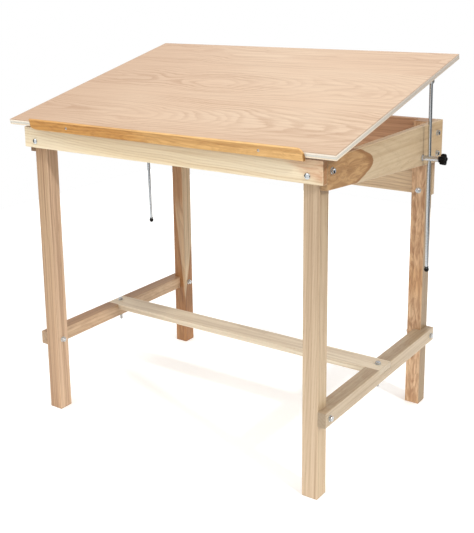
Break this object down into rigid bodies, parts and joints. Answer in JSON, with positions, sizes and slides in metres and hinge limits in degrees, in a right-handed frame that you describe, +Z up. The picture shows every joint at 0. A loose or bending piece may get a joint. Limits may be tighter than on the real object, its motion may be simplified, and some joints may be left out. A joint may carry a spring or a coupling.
{
  "type": "drafting table",
  "caption": "Four-post wooden drafting table whose plywood board tilts on hinges and is held by two support rods in swivel clamps with star knobs.",
  "frame": {"origin": "on the floor, under the middle of the table's bounding box at rest", "axes": "+X to the right of the person sitting at the table, +Y from the ledge to the back, +Z up"},
  "size_m": [1.1226, 0.7515, 1.0711],
  "materials": {
    "ash_pale": "clear satin lacquer on pale straight-grained ash",
    "ash_tan": "clear satin lacquer on tan ash",
    "ash_brown": "clear satin lacquer on brown heartwood ash",
    "board_veneer": "satin lacquered flat-cut veneer on pale plywood",
    "honey_wood": "honey-coloured lacquered wood",
    "zinc_hardware": "bright zinc plating",
    "chrome_rod": "polished steel rod",
    "black_plastic": "moulded black plastic",
    "black_rubber": "moulded black rubber"
  },
  "bodies": {
    "root": {"leg_front_left": "ash_tan", "leg_front_right": "ash_tan", "leg_rear_left": "ash_tan", "leg_rear_right": "ash_brown", "front_apron": "ash_pale", "rear_apron": "ash_brown", "upper_side_rail_left": "ash_tan", "upper_side_rail_right": "ash_tan", "lower_side_rail_left": "ash_tan", "lower_side_rail_right": "ash_tan", "centre_stretcher": "ash_pale", "apron_bolt_front_left": "zinc_hardware", "apron_bolt_rear_left": "zinc_hardware", "side_rail_bolt_front_left": "zinc_hardware", "side_rail_bolt_rear_upper_left": "zinc_hardware", "side_rail_bolt_rear_lower_left": "zinc_hardware", "lower_rail_bolt_front_left": "zinc_hardware", "lower_rail_bolt_rear_left": "zinc_hardware", "stretcher_bolt_left": "zinc_hardware", "apron_bolt_front_right": "zinc_hardware", "apron_bolt_rear_right": "zinc_hardware", "side_rail_bolt_front_right": "zinc_hardware", "side_rail_bolt_rear_upper_right": "zinc_hardware", "side_rail_bolt_rear_lower_right": "zinc_hardware", "lower_rail_bolt_front_right": "zinc_hardware", "lower_rail_bolt_rear_right": "zinc_hardware", "stretcher_bolt_right": "zinc_hardware", "apron_nut_front_left": "zinc_hardware", "apron_nut_rear_left": "zinc_hardware", "lower_rail_nut_front_left": "zinc_hardware", "lower_rail_nut_rear_left": "zinc_hardware", "stretcher_nut_left": "zinc_hardware", "apron_nut_front_right": "zinc_hardware", "apron_nut_rear_right": "zinc_hardware", "lower_rail_nut_front_right": "zinc_hardware", "lower_rail_nut_rear_right": "zinc_hardware", "stretcher_nut_right": "zinc_hardware", "hinge_lower_leaf_left": "zinc_hardware", "hinge_lower_leaf_right": "zinc_hardware", "hinge_pin_left": "zinc_hardware", "hinge_pin_right": "zinc_hardware"},
    "board": {"drawing_board": "board_veneer", "pencil_ledge": "honey_wood", "hinge_upper_leaf_left": "zinc_hardware", "hinge_upper_leaf_right": "zinc_hardware", "rod_bracket_left": "zinc_hardware", "rod_bracket_right": "zinc_hardware", "rod_pivot_pin_left": "zinc_hardware", "rod_pivot_pin_right": "zinc_hardware"},
    "rod_left": {"support_rod_left": "chrome_rod", "rod_tip_left": "black_rubber"},
    "clamp_left": {"rod_clamp_left": "zinc_hardware", "rod_clamp_nut_left": "zinc_hardware"},
    "knob_left": {"star_knob_left": "black_plastic"},
    "rod_right": {"support_rod_right": "chrome_rod", "rod_tip_right": "black_rubber"},
    "clamp_right": {"rod_clamp_right": "zinc_hardware", "rod_clamp_nut_right": "zinc_hardware"},
    "knob_right": {"star_knob_right": "black_plastic"}
  },
  "joints": [
    {"name": "board_tilt", "type": "hinge", "parent": "root", "child": "board", "pos_m": [0, -0.35455, 0.8836], "axis": [1, 0, 0], "range_deg": [-13.2, 31]},
    {"name": "rod_pivot_left", "type": "hinge", "parent": "board", "child": "rod_left", "pos_m": [-0.5128, 0.21764, 1.00712], "axis": [1, 0, 0], "range_deg": [-15.6, 6.7]},
    {"name": "clamp_swivel_left", "type": "hinge", "parent": "root", "child": "clamp_left", "pos_m": [-0.4915, 0.22345, 0.791], "axis": [1, 0, 0], "range_deg": [-6.7, 15.6]},
    {"name": "knob_turn_left", "type": "hinge", "parent": "clamp_left", "child": "knob_left", "pos_m": [-0.552, 0.22345, 0.791], "axis": [-1, 0, 0], "range_deg": [0, 300]},
    {"name": "rod_pivot_right", "type": "hinge", "parent": "board", "child": "rod_right", "pos_m": [0.5128, 0.21764, 1.00712], "axis": [1, 0, 0], "range_deg": [-15.6, 6.7]},
    {"name": "clamp_swivel_right", "type": "hinge", "parent": "root", "child": "clamp_right", "pos_m": [0.4915, 0.22345, 0.791], "axis": [1, 0, 0], "range_deg": [-6.7, 15.6]},
    {"name": "knob_turn_right", "type": "hinge", "parent": "clamp_right", "child": "knob_right", "pos_m": [0.552, 0.22345, 0.791], "axis": [1, 0, 0], "range_deg": [0, 300]}
  ],
  "couplings": [
    {"joint": "rod_pivot_left", "follows": "board_tilt", "ratio": -0.5},
    {"joint": "clamp_swivel_left", "follows": "board_tilt", "ratio": 0.5},
    {"joint": "rod_pivot_right", "follows": "board_tilt", "ratio": -0.5},
    {"joint": "clamp_swivel_right", "follows": "board_tilt", "ratio": 0.5}
  ]
}
